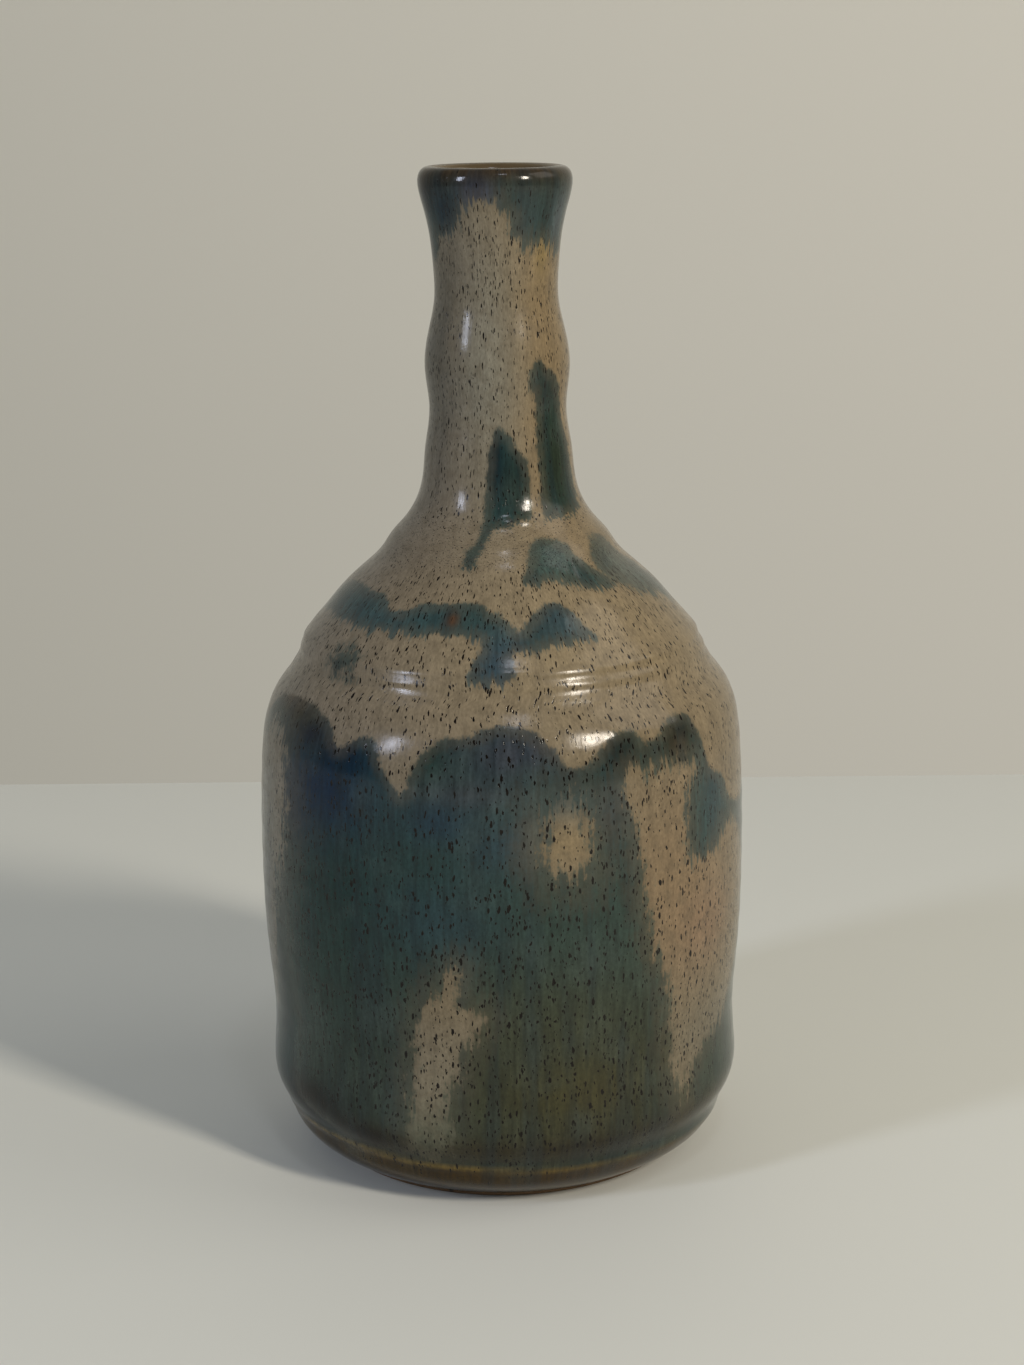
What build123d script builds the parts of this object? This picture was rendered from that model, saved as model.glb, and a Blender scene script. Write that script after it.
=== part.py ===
"""Stoneware bud vase: three thrown sections luted together with slip, under two coats of glaze.

Millimetres, +Z up, the origin at the centre of the foot's resting face. Every piece is round,
so each one is a closed profile in the XZ plane, revolved about Z.
"""

from build123d import *
import math
import os

# Heights, from the table up.
foot_height = 10.0  # the flare from the foot ring out to the heel
body_height = 86.6  # from the heel to the step where the shoulder is set on
shoulder_height = 20.0  # from the step to the crease at the root of the neck
neck_height = 67.6  # from the crease to the crest of the lip

# Outside radii of the glazed surface.
foot_radius = 34.2
heel_radius = 42.6
swell_radius = 44.85  # the soft roll above the heel
waist_radius = 44.35  # the shallow waist above that roll
belly_radius = 45.8
step_radius = 38.0
root_radius = 20.6
collar_radius = 12.5  # the waist of the neck, under the bulge
bulge_radius = 13.2
throat_radius = 11.2  # the waist of the neck, over the bulge
lip_radius = 13.9

# Thickness of the clay, drawn up thinner towards the top.
body_wall = 4.4
shoulder_wall = 3.7
neck_wall = 2.9
floor_thickness = 5.0

# Thickness of the two coats.
outer_glaze_thickness = 0.5
liner_glaze_thickness = 0.4

# The foot ring that the vase stands on, turned into the underside.
foot_ring_width = 5.0
foot_recess = 2.4
foot_recess_slope = 1.6
bare_foot_height = 1.2  # wiped clean of glaze, so that the vase doesn't stick to the kiln shelf
bare_foot_lean = 0.4
flare_swell = 1.4  # how far the flare's middle swells out from a straight bevel

# The inside.
floor_corner_radius = 9.0
throat_bore_radius = 7.5
throat_bore_length = 12.0
throat_bore_below_crest = 28.0  # from the crest down to the bore's lower end

# The lip.
lip_drop = 3.0  # from the crest down to the lip's widest level
lip_crest_inset = 2.1  # from the lip's widest radius in to its crest
lip_roundness = 0.22  # a lip arc's bulge, as a share of its chord

# The luted joints: a V groove in each lower rim, a ridge above it and slip between them.
groove_depth = 1.4
slip_thickness = 0.4

# Levels that follow from the heights.
heel_level = foot_height
step_level = heel_level + body_height
dome_level = step_level + slip_thickness
root_level = dome_level + shoulder_height
neck_level = root_level + slip_thickness
crest_level = neck_level + neck_height
floor_level = foot_recess + floor_thickness
bore_low = crest_level - throat_bore_below_crest
bore_high = bore_low + throat_bore_length
crest_radius = lip_radius - lip_crest_inset

# The glazed outside, as (radius, share of the section's height) from each section's foot up.
body_profile = [
    (heel_radius, 0.0),
    (swell_radius - 0.8, 0.03),
    (swell_radius, 0.08),
    (waist_radius, 0.2),
    (belly_radius - 0.6, 0.34),
    (belly_radius, 0.55),
    (belly_radius - 0.3, 0.73),
    (belly_radius - 0.9, 0.82),
    (belly_radius - 2.1, 0.885),
    (belly_radius - 4.2, 0.93),
    (belly_radius - 6.9, 0.975),
    (step_radius, 1.0),
]
dome_run = step_radius - root_radius
shoulder_profile = [
    (step_radius, 0.0),
    (step_radius - 0.11 * dome_run, 0.16),
    (step_radius - 0.29 * dome_run, 0.35),
    (step_radius - 0.48 * dome_run, 0.55),
    (step_radius - 0.735 * dome_run, 0.76),
    (root_radius, 1.0),
]
neck_profile = [
    (root_radius, 0.0),
    (collar_radius + 6.1, 0.042),
    (collar_radius + 3.25, 0.09),
    (collar_radius + 1.6, 0.16),
    (collar_radius + 0.95, 0.25),
    (collar_radius, 0.357),
    (bulge_radius, 0.472),
    (bulge_radius - 0.9, 0.565),
    (throat_radius, 0.67),
    (throat_radius + 0.35, 0.775),
    (throat_radius + 1.3, 0.87),
    (lip_radius, 1 - lip_drop / neck_height),
]
bulge_station = 6  # the last station of the neck below the bore
heel_stations = 3  # stations of the body that the inside's rounded corner replaces


def rise(profile, level, height):
    """A section's profile with its shares turned into levels."""
    return [(radius, level + share * height) for radius, share in profile]


def inset(points, depth):
    """The points moved into the wall, each along the normal that its neighbours give."""
    moved = []
    for index, (radius, level) in enumerate(points):
        low = points[max(index - 1, 0)]
        high = points[min(index + 1, len(points) - 1)]
        run, climb = high[0] - low[0], high[1] - low[1]
        scale = depth[index] / math.hypot(run, climb)
        moved.append((radius - climb * scale, level + run * scale))
    return moved


def lift(point):
    """A joint's lower edge moved up past the slip."""
    return point[0], point[1] + slip_thickness


def skin(below_glaze, walls):
    """The three sections' outlines at a depth: the glaze over them, plus a wall that thins upwards."""
    body = rise(body_profile, heel_level, body_height)
    shoulder = rise(shoulder_profile, dome_level, shoulder_height)
    neck = rise(neck_profile, neck_level, neck_height)
    outlines = []
    for outline, (first, last) in zip((body, shoulder, neck), walls):
        steps = len(outline) - 1
        depth = [below_glaze + first + (last - first) * index / steps for index in range(steps + 1)]
        outlines.append(inset(outline, depth))
    outlines[1][0] = lift(outlines[0][-1])
    outlines[2][0] = lift(outlines[1][-1])
    return outlines


no_walls = [(0, 0), (0, 0), (0, 0)]
clay_walls = [(body_wall, shoulder_wall), (shoulder_wall, shoulder_wall), (shoulder_wall, neck_wall)]
glazed_outside = skin(0, no_walls)
clay_outside = skin(outer_glaze_thickness, no_walls)
clay_inside = skin(outer_glaze_thickness, clay_walls)
liner_inside = skin(outer_glaze_thickness + liner_glaze_thickness, clay_walls)

foot_edge = (foot_radius, 0)
glaze_line = (foot_radius + bare_foot_lean, bare_foot_height)
crest = (crest_radius, crest_level)
clay_crest = (crest_radius, crest_level - outer_glaze_thickness)


def bowed(low, high, bulge):
    """The middle point of an arc from low to high that bows out by a distance, or in if it's negative."""
    run, climb = high[0] - low[0], high[1] - low[1]
    length = math.hypot(run, climb)
    middle_radius, middle_level = (low[0] + high[0]) / 2, (low[1] + high[1]) / 2
    return middle_radius + climb / length * bulge, middle_level - run / length * bulge


def lip_arc(side, top):
    """A quarter of the lip, from the side of the wall over to the crest, bowed away from the clay."""
    away = 1 if side[0] > top[0] else -1
    bulge = away * lip_roundness * math.hypot(top[0] - side[0], top[1] - side[1])
    ThreePointArc(side, bowed(side, top, bulge), top)


def flare(start, heel):
    """The foot's flare, from just above the foot ring out to the heel."""
    ThreePointArc(start, bowed(start, heel, flare_swell), heel)


def floor(heel_outline, level, corner):
    """The inside's floor and rounded corner, from the axis to the wall, and the wall up to the step."""
    wall_radius = heel_outline[heel_stations][0]
    centre = (wall_radius - corner, level + corner)
    diagonal = corner * math.sqrt(0.5)
    corner_end = (wall_radius, level + corner)
    Line((0, level), (centre[0], level))
    ThreePointArc((centre[0], level), (centre[0] + diagonal, centre[1] - diagonal), corner_end)
    Spline(corner_end, *heel_outline[heel_stations:])


def throat(neck_outline, bore_radius, top):
    """The neck's inside: the hollow behind the bulge, the straight bore, the mouth and the lip."""
    Spline(*neck_outline[: bulge_station + 1], (bore_radius, bore_low))
    Line((bore_radius, bore_low), (bore_radius, bore_high))
    Spline((bore_radius, bore_high), *neck_outline[-2:])
    lip_arc(neck_outline[-1], top)


def outside(outlines, heel_start, top):
    """The whole outside, from a start on the flare up to the lip's crest."""
    body, shoulder, neck = outlines
    flare(heel_start, body[0])
    Spline(*body)
    Line(body[-1], shoulder[0])
    Spline(*shoulder)
    Line(shoulder[-1], neck[0])
    Spline(*neck)
    lip_arc(neck[-1], top)


def inside(outlines, coat, top):
    """The whole inside, from the axis at the floor up to the lip's crest, under a coat of liner or bare."""
    body, shoulder, neck = outlines
    floor(body, floor_level - coat, floor_corner_radius)
    Line(body[-1], shoulder[0])
    Spline(*shoulder)
    Line(shoulder[-1], neck[0])
    throat(neck, throat_bore_radius + coat, top)


def groove(outer, inner):
    """The V groove across a joint's lower rim, from the outside of the clay to the inside."""
    middle = ((outer[0] + inner[0]) / 2, (outer[1] + inner[1]) / 2 - groove_depth)
    Polyline(outer, middle, inner)


def slip_ring(outer, inner):
    """The slip's profile: the groove, the same groove lifted by the slip's thickness, and its two ends."""
    groove(outer, inner)
    groove(lift(outer), lift(inner))
    Line(outer, lift(outer))
    Line(inner, lift(inner))


clay_body, clay_shoulder, clay_neck = clay_outside
hollow_body, hollow_shoulder, hollow_neck = clay_inside
clay_floor_level = floor_level - liner_glaze_thickness
recess_radius = foot_radius - foot_ring_width

with BuildPart() as base_section:
    with BuildSketch(Plane.XZ):
        with BuildLine():
            Line((0, clay_floor_level), (0, foot_recess))
            Polyline(
                (0, foot_recess),
                (recess_radius - foot_recess_slope, foot_recess),
                (recess_radius, 0),
                foot_edge,
                glaze_line,
            )
            flare(glaze_line, clay_body[0])
            Spline(*clay_body)
            groove(clay_body[-1], hollow_body[-1])
            floor(hollow_body, clay_floor_level, floor_corner_radius)
        make_face()
    revolve(axis=Axis.Z)

with BuildPart() as shoulder_slip_joint:
    with BuildSketch(Plane.XZ):
        with BuildLine():
            slip_ring(clay_body[-1], hollow_body[-1])
        make_face()
    revolve(axis=Axis.Z)

with BuildPart() as shoulder_section:
    with BuildSketch(Plane.XZ):
        with BuildLine():
            groove(clay_shoulder[0], hollow_shoulder[0])
            Spline(*clay_shoulder)
            groove(clay_shoulder[-1], hollow_shoulder[-1])
            Spline(*hollow_shoulder)
        make_face()
    revolve(axis=Axis.Z)

with BuildPart() as neck_slip_joint:
    with BuildSketch(Plane.XZ):
        with BuildLine():
            slip_ring(clay_shoulder[-1], hollow_shoulder[-1])
        make_face()
    revolve(axis=Axis.Z)

with BuildPart() as neck_section:
    with BuildSketch(Plane.XZ):
        with BuildLine():
            groove(clay_neck[0], hollow_neck[0])
            Spline(*clay_neck)
            lip_arc(clay_neck[-1], clay_crest)
            throat(hollow_neck, throat_bore_radius + liner_glaze_thickness, clay_crest)
        make_face()
    revolve(axis=Axis.Z)

with BuildPart() as outer_glaze:
    with BuildSketch(Plane.XZ):
        with BuildLine():
            coat_edge = (glaze_line[0] + outer_glaze_thickness, glaze_line[1])
            Line(glaze_line, coat_edge)
            outside(glazed_outside, coat_edge, crest)
            Line(crest, clay_crest)
            outside(clay_outside, glaze_line, clay_crest)
        make_face()
    revolve(axis=Axis.Z)

with BuildPart() as liner_glaze:
    with BuildSketch(Plane.XZ):
        with BuildLine():
            Line((0, clay_floor_level), (0, floor_level))
            inside(liner_inside, 0, crest)
            Line(crest, clay_crest)
            inside(clay_inside, liner_glaze_thickness, clay_crest)
        make_face()
    revolve(axis=Axis.Z)

pieces = {
    "base_section": base_section,
    "shoulder_slip_joint": shoulder_slip_joint,
    "shoulder_section": shoulder_section,
    "neck_slip_joint": neck_slip_joint,
    "neck_section": neck_section,
    "outer_glaze": outer_glaze,
    "liner_glaze": liner_glaze,
}
os.makedirs("parts", exist_ok=True)
for name, piece in pieces.items():
    piece.part.label = name
    export_step(piece.part, f"parts/{name}.step")
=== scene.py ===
"""Stoneware bud vase with a runny two-tone glaze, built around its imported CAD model. Metres, +Z up."""

import math

import bpy
import numpy as np
from mathutils import Matrix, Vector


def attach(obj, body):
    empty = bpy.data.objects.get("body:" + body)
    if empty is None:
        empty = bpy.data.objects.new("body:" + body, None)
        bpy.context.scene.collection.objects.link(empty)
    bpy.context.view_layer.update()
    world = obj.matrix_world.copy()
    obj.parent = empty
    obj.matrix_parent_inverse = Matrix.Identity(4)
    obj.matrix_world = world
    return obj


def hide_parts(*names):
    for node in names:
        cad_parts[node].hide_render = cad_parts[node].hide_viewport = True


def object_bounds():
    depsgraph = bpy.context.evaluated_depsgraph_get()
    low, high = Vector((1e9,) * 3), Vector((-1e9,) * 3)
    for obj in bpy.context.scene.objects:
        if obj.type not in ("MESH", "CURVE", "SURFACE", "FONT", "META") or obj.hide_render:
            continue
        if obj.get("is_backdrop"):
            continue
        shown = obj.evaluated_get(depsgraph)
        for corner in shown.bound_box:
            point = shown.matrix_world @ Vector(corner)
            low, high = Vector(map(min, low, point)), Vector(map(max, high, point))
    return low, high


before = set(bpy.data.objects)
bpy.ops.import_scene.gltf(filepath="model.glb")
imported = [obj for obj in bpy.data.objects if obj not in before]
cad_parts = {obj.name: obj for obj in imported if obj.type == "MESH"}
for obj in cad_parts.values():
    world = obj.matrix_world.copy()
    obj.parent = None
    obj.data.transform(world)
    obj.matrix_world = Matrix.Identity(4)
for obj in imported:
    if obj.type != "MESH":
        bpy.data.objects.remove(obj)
cad_low, cad_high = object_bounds()

# ---------------------------------------------------------------------------------------------
# The base section. A cylinder of dark iron-bearing stoneware, thrown on the wheel and turned
# upside down when leather-hard to cut the foot ring. Only the wiped ring at the table is bare.

mm = 0.001
vase_height = cad_high[2] / mm
foot_radius, foot_ring_width, foot_recess = 34.2, 5.0, 2.4
bare_height, edge_softness = 1.2, 0.6
glaze_thickness = 0.5
columns = 360

# The glazed outside, as (radius, height) in mm, from the glaze's lower edge up to the crest of the lip.
foot_outside = [(35.1, 1.2), (37.6, 2.75), (39.9, 4.6), (41.6, 7.1), (42.6, 10.0)]
body_outside = [
    (43.6, 11.9), (44.7, 15.0), (44.75, 19.0), (44.35, 27.0), (44.7, 33.0), (45.3, 40.0),
    (45.7, 48.0), (45.8, 57.0), (45.7, 67.0), (45.3, 76.0), (44.7, 82.5), (43.75, 86.6),
    (41.9, 90.4), (39.1, 94.1), (37.75, 96.7),
]
shoulder_outside = [(36.3, 100.0), (33.1, 104.0), (29.6, 108.1), (25.4, 112.0), (21.7, 115.7), (20.1, 118.1)]
neck_outside = [
    (18.4, 120.0), (15.75, 123.6), (14.15, 128.0), (13.45, 134.0), (12.5, 141.4), (13.2, 149.0),
    (12.4, 155.4), (11.25, 161.0), (11.35, 167.5), (11.85, 172.5), (12.9, 177.5), (13.8, 181.0),
]
lip_outside = [(13.95, 182.3), (13.6, 183.9), (12.7, 184.8), (11.8, 185.0)]
outside_stations = foot_outside + body_outside + shoulder_outside + neck_outside + lip_outside


def drawn_through(stations, count, crowded=()):
    """A natural cubic spline through the stations, at count steps of its length.

    The steps are even, but for (height, half-width, closeness) places where they crowd together.

    The parameter is the chord length t. The bends m solve h0*m0 + 2(h0+h1)*m1 + h1*m2 = 6*(change of
    slope), with no bend at the two ends, and each span is the usual cubic of its two ends and bends.
    """
    points = np.array(stations, float)
    t = np.concatenate([[0], np.cumsum(np.hypot(*np.diff(points, axis=0).T))])
    span = np.diff(t)
    slope = np.diff(points, axis=0) / span[:, None]
    size = len(points)
    system = np.eye(size)
    middle = np.arange(1, size - 1)
    system[middle, middle - 1] = span[:-1]
    system[middle, middle] = 2 * (span[:-1] + span[1:])
    system[middle, middle + 1] = span[1:]
    change = np.zeros_like(points)
    change[1:-1] = 6 * np.diff(slope, axis=0)
    bend = np.linalg.solve(system, change)

    def at(where):
        k = np.clip(np.searchsorted(t, where, side="right") - 1, 0, size - 2)
        h, left, right = span[k][:, None], (where - t[k])[:, None], (t[k + 1] - where)[:, None]
        from_low = (points[k] / h - bend[k] * h / 6) * right
        from_high = (points[k + 1] / h - bend[k + 1] * h / 6) * left
        return from_low + from_high + (bend[k] * right**3 + bend[k + 1] * left**3) / (6 * h)

    fine = np.linspace(0, t[-1], 40 * size)
    curve = at(fine)
    step = np.hypot(*np.diff(curve, axis=0).T)
    for level, half_width, closeness in crowded:
        step = step * (1 + closeness * np.exp(-(((curve[1:, 1] - level) / half_width) ** 2)))
    length = np.concatenate([[0], np.cumsum(step)])
    return at(np.interp(np.linspace(0, length[-1], count), length, fine))


def set_in(profile, depth):
    """A profile moved into the wall by a depth: each point along its normal (-dz, dr)."""
    along = np.gradient(profile, axis=0)
    along /= np.hypot(*along.T)[:, None]
    return profile + np.stack([-along[:, 1], along[:, 0]], 1) * np.reshape(depth, (-1, 1))


def patch(angle, level, at_angle, at_level, wide, high):
    """A soft patch on the wall: exp(-(distance / half-size) ** 2), in degrees round it and in mm up it."""
    off = ((angle - at_angle + 180) % 360 - 180) / wide
    return np.exp(-(off**2) - ((level - at_level) / high) ** 2)


def turned_line_level(turn):
    """The height of the line turned above the foot, which drops towards the right."""
    return 8.7 - 1.6 * np.sin(turn)


# Marks of the rib round the foot of the shoulder, as (height, half-width, relief) in mm.
tool_marks = [(99.7, 0.8, 0.28), (97.4, 0.8, 0.22), (94.6, 1.0, 0.12)]

# Thick beads and drips of glaze, as (angle, height, half-width in degrees, half-height, relief).
glaze_beads = [
    (10, 122.8, 14, 0.8, 0.35), (-16, 107.7, 3, 1.2, 0.35), (22, 107.5, 3, 1.2, 0.3), (30, 89.3, 5, 1.6, 0.4),
    (46, 88.5, 5, 2.0, 0.3), (-11, 88, 4, 2.0, 0.3), (37, 115, 2, 1.0, 0.3),
]


def hand_of_the_potter(angle, level):
    """How far the wall stands out from a true circle, in mm, at an angle in degrees and a height in mm.

    A few slow waves round the pot whose phase drifts up it, a shoulder pushed a little to the right, faint
    throwing rings, the rib's marks, the turned line with a hollow under it, and the beads of glaze.
    """
    turn = np.radians(angle)
    oval = 0.12 * np.cos(2 * turn + level * 0.021) + 0.07 * np.cos(3 * turn - level * 0.05 + 1.0)
    shoulder_push = 0.35 * np.sin(turn) * np.exp(-(((level - 92) / 7) ** 2))
    throwing_rings = 0.03 * np.sin(level * 1.1 + turn) * np.exp(-(((level - 60) / 40) ** 2))
    marks = 0.0
    for mark_level, half_width, relief in tool_marks:
        wander = 0.35 * np.sin(turn + mark_level)
        marks = marks + relief * np.exp(-(((level - mark_level - wander) / half_width) ** 2))
    above_line = level - turned_line_level(turn)
    line_profile = np.exp(-((above_line / 0.6) ** 2)) - np.exp(-(((above_line + 1.5) / 1.0) ** 2))
    turned_line = (0.6 - 0.4 * np.sin(turn)) * 0.3 * line_profile
    beads = 0.0
    for at_angle, at_level, wide, high, relief in glaze_beads:
        beads = beads + relief * patch(angle, level, at_angle, at_level, wide, high)
    return oval + shoulder_push + throwing_rings + marks + turned_line + beads


def turned(name, profile, closed=True, columns=columns):
    """A profile carried round the axis: x = r sin a, y = -r cos a, z, so that angle 0 faces -Y.

    The profile runs up the outside, so its faces point outwards. A closed profile joins its end to its start,
    and one that ends on the axis gets a single point there.
    """
    rows = len(profile)
    angle = np.arange(columns) * 360.0 / columns
    a, _ = np.meshgrid(angle, np.arange(rows))
    radius = profile[:, :1] + hand_of_the_potter(a, profile[:, 1:]) * np.clip(profile[:, :1] / 8, 0, 1)
    turn = np.radians(a)
    level = np.broadcast_to(profile[:, 1:], a.shape)
    points = np.stack([radius * np.sin(turn), -radius * np.cos(turn), level], -1).reshape(-1, 3) * mm
    i = np.arange(rows if closed else rows - 1)
    low, high = np.meshgrid(i, np.arange(columns), indexing="ij")
    nxt, up = (high + 1) % columns, (low + 1) % rows
    faces = np.stack([low * columns + high, low * columns + nxt, up * columns + nxt, up * columns + high], -1)
    faces = faces.reshape(-1, 4)
    polygons = [tuple(face) for face in faces.tolist()]
    for row in (0, rows - 1):
        if not closed and profile[row, 0] < 0.5:
            centre = len(points)
            points = np.vstack([points, [[0, 0, profile[row, 1] * mm]]])
            ring = row * columns + np.arange(columns)
            after = row * columns + (np.arange(columns) + 1) % columns
            fan = (after, ring) if row == 0 else (ring, after)
            polygons += [(centre, one, two) for one, two in zip(fan[0].tolist(), fan[1].tolist())]
    mesh = bpy.data.meshes.new(name)
    mesh.from_pydata(points, [], polygons)
    mesh.shade_smooth()
    piece = bpy.data.objects.new(name, mesh)
    bpy.context.scene.collection.objects.link(piece)
    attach(piece, "root")
    return piece


def paint(hex_colour):
    """An sRGB hex colour as linear RGBA."""
    channels = [int(hex_colour[i : i + 2], 16) / 255 for i in (1, 3, 5)]
    return [c / 12.92 if c < 0.04045 else ((c + 0.055) / 1.055) ** 2.4 for c in channels] + [1]


def add(tree, kind, links=(), out=0, **settings):
    """One node, and back comes one of its outputs.

    The settings are its properties, and the links are (input, value or socket) pairs.
    """
    node = tree.nodes.new(kind)
    for key, value in settings.items():
        setattr(node, key, value)
    for key, value in links:
        if isinstance(value, bpy.types.NodeSocket):
            tree.links.new(value, node.inputs[key])
        else:
            node.inputs[key].default_value = value
    return node.outputs[out]


def fired_clay():
    """Iron-bearing stoneware fired to a toasted matt brown: rough, sandy, with no gloss.

    The dark grog in it is about 1 mm apart, and the toasting varies over about 17 mm.
    """
    material = bpy.data.materials.new("toasted_stoneware_clay")
    material.use_nodes = True
    tree = material.node_tree
    surface = tree.nodes["Principled BSDF"]
    place = add(tree, "ShaderNodeTexCoord", out="Object")
    grog = add(tree, "ShaderNodeTexNoise", [("Vector", place), ("Scale", 900), ("Detail", 3)])
    toasting = add(tree, "ShaderNodeTexNoise", [("Vector", place), ("Scale", 60), ("Detail", 2)])
    browns = [("Factor", toasting), ("A", paint("#5b4630")), ("B", paint("#7a5f42"))]
    tone = add(tree, "ShaderNodeMix", browns, out=2, data_type="RGBA")
    speck = add(tree, "ShaderNodeMapRange", [("Value", grog), ("From Min", 0.6), ("From Max", 0.72)])
    specked = [("Factor", speck), ("A", tone), ("B", paint("#2c2118"))]
    colour = add(tree, "ShaderNodeMix", specked, out=2, data_type="RGBA")
    grain = add(tree, "ShaderNodeBump", [("Height", grog), ("Distance", 0.15 * mm), ("Strength", 0.6)])
    tree.links.new(colour, surface.inputs["Base Color"])
    tree.links.new(grain, surface.inputs["Normal"])
    surface.inputs["Roughness"].default_value = 0.85
    surface.inputs["IOR"].default_value = 1.5
    return material


clay = fired_clay()
outside_rows = 222
outside = drawn_through(outside_stations, outside_rows, [(97.5, 3.5, 1.2), (121.5, 4, 1.2), (184.5, 1, 1.5)])

# The clay under the glaze, the bare ring, the recess and the inside of the section.
step_level, wall, floor_level, corner = 96.6, 4.4, 7.0, 9.4
above_corner = floor_level + corner + 4
near_axis = 0.2
ring_inside = foot_radius - foot_ring_width


def corner_and_floor(wall_radius, lift=0.0):
    """The inside from the foot of its wall: a quarter circle down to the floor, then in to the axis.

    The lift is the thickness of a coat that lies on it.
    """
    swing = np.radians(np.arange(0, 91, 10))
    centre = wall_radius - corner
    bend = np.stack([centre + corner * np.cos(swing), floor_level + corner * (1 - np.sin(swing)) + lift], 1)
    return np.vstack([bend, [(centre * 0.5, floor_level + lift), (near_axis, floor_level + lift)]])


clay_side = set_in(outside, glaze_thickness)
clay_side = clay_side[(clay_side[:, 1] > bare_height + 0.4) & (clay_side[:, 1] < step_level)]
bare_ring = np.array([
    (near_axis, foot_recess), (ring_inside - 1.9, foot_recess), (ring_inside - 0.9, foot_recess * 0.62),
    (ring_inside, edge_softness * 0.4), (ring_inside + edge_softness, 0), (foot_radius - edge_softness, 0),
    (foot_radius - 0.1, edge_softness * 0.5), (foot_radius + 0.35, bare_height - 0.1),
])
hollow_side = set_in(clay_side[clay_side[:, 1] > above_corner], wall)[::-1]
hollow = np.vstack([hollow_side, corner_and_floor(hollow_side[-1, 0])])
base = turned("base_section_clay", np.vstack([bare_ring, clay_side, hollow]), False)
base.data.materials.append(clay)
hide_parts("base_section")

# ---------------------------------------------------------------------------------------------
# The shoulder and neck sections and the slip that lutes them on. They are the same clay, thrown
# on their own and joined leather-hard. The two glazes cover them completely.


def clay_thickness(level):
    """The wall at a height: it thins from the heel to the step, and again up the neck."""
    return np.interp(level, [10, 97, 117, 185], [wall, 3.7, 3.7, 2.9])


throat_bore_radius, bore_low, bore_high = 7.5, 151.0, 163.0
liner_thickness = 0.4
clear_of_glaze, clear_of_liner = 0.02, 0.05  # how far the clay keeps back from each coat


def bored(side, allowance):
    """The inside of the wall with the throat brought to a straight bore, wider by an allowance."""
    bore = throat_bore_radius + allowance
    closing = np.clip((side[:, 1] - bore_low + 7) / 7, 0, 1)
    narrowed = side[:, 0] + (bore - side[:, 0]) * closing
    radius = np.where(side[:, 1] < bore_high, narrowed, np.maximum(side[:, 0], bore))
    return np.stack([radius, side[:, 1]], 1)


joint_levels = {"shoulder_slip_joint": (step_level, 97.0), "neck_slip_joint": (117.0, 117.4)}
section_levels = {"shoulder_section": (97.0, 117.0), "neck_section": (117.4, 181.5)}
for node_name, (low_edge, high_edge) in {**joint_levels, **section_levels}.items():
    reaches = drawn_through(outside_stations, 4 * outside_rows)
    reaches = reaches[(reaches[:, 1] >= low_edge) & (reaches[:, 1] <= high_edge)]
    reaches = reaches[:: max(1, len(reaches) // 60)]
    under_glaze = set_in(reaches, glaze_thickness + clear_of_glaze)
    through_the_clay = set_in(reaches, glaze_thickness + clay_thickness(reaches[:, 1]))
    in_the_hollow = bored(through_the_clay, liner_thickness + clear_of_liner)[::-1]
    section = turned(node_name + "_clay", np.vstack([under_glaze, in_the_hollow]), True, 128)
    section.data.materials.append(clay)
    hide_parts(node_name)

# ---------------------------------------------------------------------------------------------
# The liner glaze. A plain glossy brown stoneware glaze, poured in, swilled round and poured out
# again, so that the vase holds water. It shows in the mouth, down to the throat.

crest_radius = 11.8
mouth_lip = [(10.14, 182.3), (10.3, 183.6), (10.9, 184.6), (crest_radius, vase_height)]


def liner_glaze_finish():
    """A tenmoku-like liner glaze: dark amber brown, glossy, thinner and paler in patches of about 8 mm."""
    material = bpy.data.materials.new("poured_liner_glaze")
    material.use_nodes = True
    tree = material.node_tree
    surface = tree.nodes["Principled BSDF"]
    place = add(tree, "ShaderNodeTexCoord", out="Object")
    thinness = add(tree, "ShaderNodeTexNoise", [("Vector", place), ("Scale", 120), ("Detail", 3)])
    browns = [("Factor", thinness), ("A", paint("#3a2f1f")), ("B", paint("#6b5a3c"))]
    colour = add(tree, "ShaderNodeMix", browns, out=2, data_type="RGBA")
    ripple = add(tree, "ShaderNodeBump", [("Height", thinness), ("Distance", 0.2 * mm)])
    tree.links.new(colour, surface.inputs["Base Color"])
    tree.links.new(ripple, surface.inputs["Normal"])
    surface.inputs["Roughness"].default_value = 0.2
    surface.inputs["IOR"].default_value = 1.52
    return material


def inside_of_wall(coat):
    """The inside from the lip's widest level down to the floor, over a coat or, with no coat, under it."""
    upright = outside[(outside[:, 1] > above_corner) & (outside[:, 1] < 181)]
    side = set_in(upright, glaze_thickness + clay_thickness(upright[:, 1]) + coat)[::-1]
    side = bored(side[:: 2 if coat else 3], liner_thickness - coat)
    return np.vstack([side, corner_and_floor(side[-1, 0], coat)])


lip_inside = drawn_through(mouth_lip, 9)[::-1]
liner_profile = np.vstack([inside_of_wall(0)[::-1], lip_inside, inside_of_wall(liner_thickness)])
liner = turned("liner_glaze_coat", liner_profile, False)
liner.data.materials.append(liner_glaze_finish())
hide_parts("liner_glaze")

# ---------------------------------------------------------------------------------------------
# The outer glaze. A tan iron-speckled base glaze with a cobalt and rutile glaze trailed over it,
# which ran in the firing: it pooled navy under the shoulder's roll, broke to teal and slate where
# it is thinner, feathered along its lower edges, and broke to olive brown on the lip and foot.

inner_rows = 50
back_of_coat = set_in(outside, glaze_thickness * 0.9)[::-1]
back_of_coat = back_of_coat[np.linspace(3, outside_rows - 4, inner_rows).astype(int)]
coat = turned("outer_glaze_coat", np.vstack([outside, back_of_coat]))
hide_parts("outer_glaze")

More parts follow.
